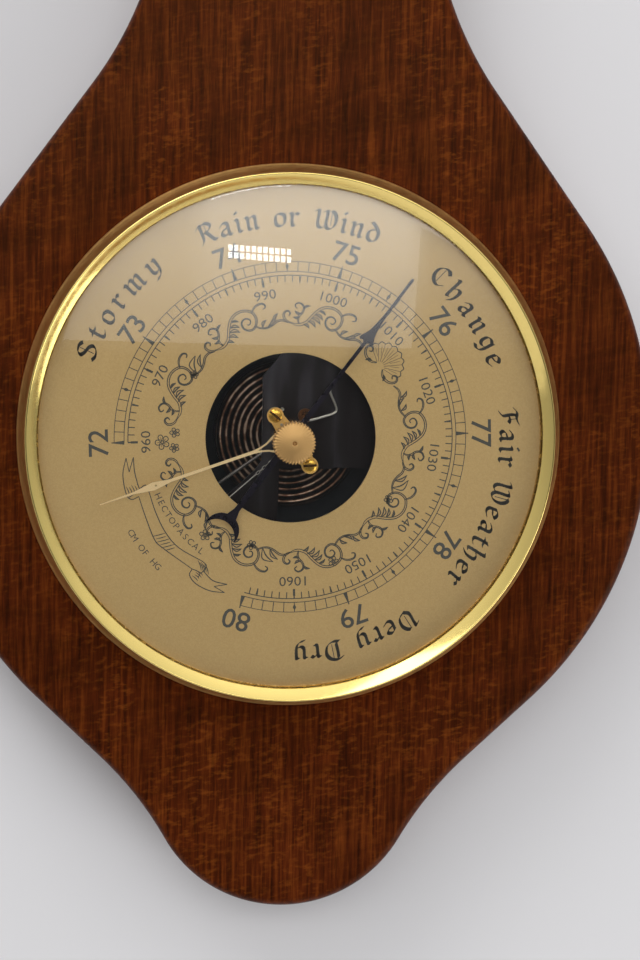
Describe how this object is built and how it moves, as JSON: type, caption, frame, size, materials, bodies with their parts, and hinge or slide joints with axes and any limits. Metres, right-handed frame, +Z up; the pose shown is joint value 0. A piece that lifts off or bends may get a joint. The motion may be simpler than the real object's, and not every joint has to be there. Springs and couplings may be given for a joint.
{
  "type": "wall barometer",
  "caption": "Wall barometer on a shaped wooden board: domed glass in a brass bezel, open-centre dial, pointer, set hand with knob, aneroid movement and a thermometer.",
  "frame": {"origin": "centre of the hanging eye's hole, on the plane of the wall", "axes": "+Z up the board, the dial faces -Y, +Y into the wall, +X to the viewer's right"},
  "size_m": [0.202, 0.0437, 0.546],
  "materials": {
    "wood": "stained mahogany brown, semi-gloss",
    "brass": "lacquered",
    "pale_brass": "satin",
    "bezel_brass": "polished and lacquered",
    "lacquered_brass": "dull lacquer",
    "dial_print": "pale gold satin with dark print",
    "glass": "clear",
    "blued_steel": "blued",
    "steel": "bright",
    "bronzed_steel": "dark grey bronzed",
    "black_lacquer": "dark lacquer, semi-gloss",
    "copper": "copper brown",
    "spring_bronze": "bright",
    "red_spirit": "coloured spirit"
  },
  "bodies": {
    "case": {"board": "wood", "hanging_plate": "brass", "hanging_screws": "brass", "case_can": "lacquered_brass", "case_screws": "steel", "dial_seat_ring": "brass", "dial_plate": "dial_print", "bezel": "bezel_brass", "glass_spacer_ring": "brass", "domed_glass": "glass", "glass_bush": "brass", "bush_nut": "brass", "hairspring": "spring_bronze", "hairspring_stud": "steel", "guide_pin": "steel", "arbor_cock": "brass", "cock_pillars": "brass", "cock_screws": "brass", "cock_pins": "steel", "bridge_plate": "bronzed_steel", "bridge_pillars": "steel", "bridge_screws": "steel", "bridge_rivet": "copper", "base_plate": "black_lacquer", "base_spacers": "brass", "movement_screws": "steel", "capsule_drum": "black_lacquer", "capsule_nut": "steel", "spring_heel": "bronzed_steel", "spring_clamp": "bronzed_steel", "clamp_screws": "steel", "shaft_bracket": "bronzed_steel", "regulator_bush": "brass", "thermometer_plate": "dial_print", "thermometer_tube": "glass", "thermometer_spirit": "red_spirit", "thermometer_clips": "brass", "thermometer_screws": "brass"},
    "set_hand": {"set_hand": "pale_brass", "set_spindle": "brass", "set_knob": "pale_brass"},
    "pointer": {"pointer": "blued_steel", "pointer_arbor": "steel", "hairspring_collet": "brass"},
    "rocker": {"rocking_shaft": "steel", "link_crank": "brass", "chain_arm": "steel", "fusee_chain": "steel"},
    "link": {"link_rod": "steel"},
    "main_lever": {"main_lever": "steel", "mainspring": "bronzed_steel"},
    "capsule_top": {"capsule_diaphragm": "black_lacquer", "capsule_stud": "brass", "knife_edge": "steel"},
    "regulator": {"regulating_screw": "brass"}
  },
  "joints": [
    {"name": "pointer_turn", "type": "hinge", "parent": "case", "child": "pointer", "pos_m": [0, -0.029, -0.405], "axis": [0, 1, 0], "range_deg": [-130, 159], "deforming": ["hairspring"]},
    {"name": "set_hand_turn", "type": "hinge", "parent": "case", "child": "set_hand", "pos_m": [0, -0.034, -0.405], "axis": [0, 1, 0], "continuous": true},
    {"name": "rocker_turn", "type": "hinge", "parent": "case", "child": "rocker", "pos_m": [-0.02472, -0.011, -0.42687], "axis": [0.6626, 0, -0.749], "range_deg": [-15.04, 18.42], "deforming": ["fusee_chain"]},
    {"name": "link_slide", "type": "slide", "parent": "case", "child": "link", "axis": [0, 1, 0], "range_m": [-0.00066, 0.0008]},
    {"name": "main_lever_turn", "type": "hinge", "parent": "case", "child": "main_lever", "pos_m": [0.027, -0.0179, -0.3995], "axis": [0, 0, -1], "range_deg": [-0.67, 0.82], "deforming": ["mainspring"]},
    {"name": "capsule_breath", "type": "slide", "parent": "case", "child": "capsule_top", "axis": [0, 1, 0], "range_m": [-0.0003088, 0.0003783], "stiffness_N_per_m": 8000, "deforming": ["capsule_diaphragm"]},
    {"name": "regulator_turn", "type": "hinge", "parent": "case", "child": "regulator", "pos_m": [0.0402, -0.01, -0.3995], "axis": [0, 1, 0], "range_deg": [-360, 360]}
  ],
  "couplings": [
    {"joint": "main_lever_turn", "follows": "capsule_breath", "rad_per_m": 37.037},
    {"joint": "link_slide", "follows": "capsule_breath", "ratio": 2.0829},
    {"joint": "rocker_turn", "follows": "capsule_breath", "rad_per_m": 833.16},
    {"joint": "pointer_turn", "follows": "capsule_breath", "rad_per_m": 7290.2}
  ]
}
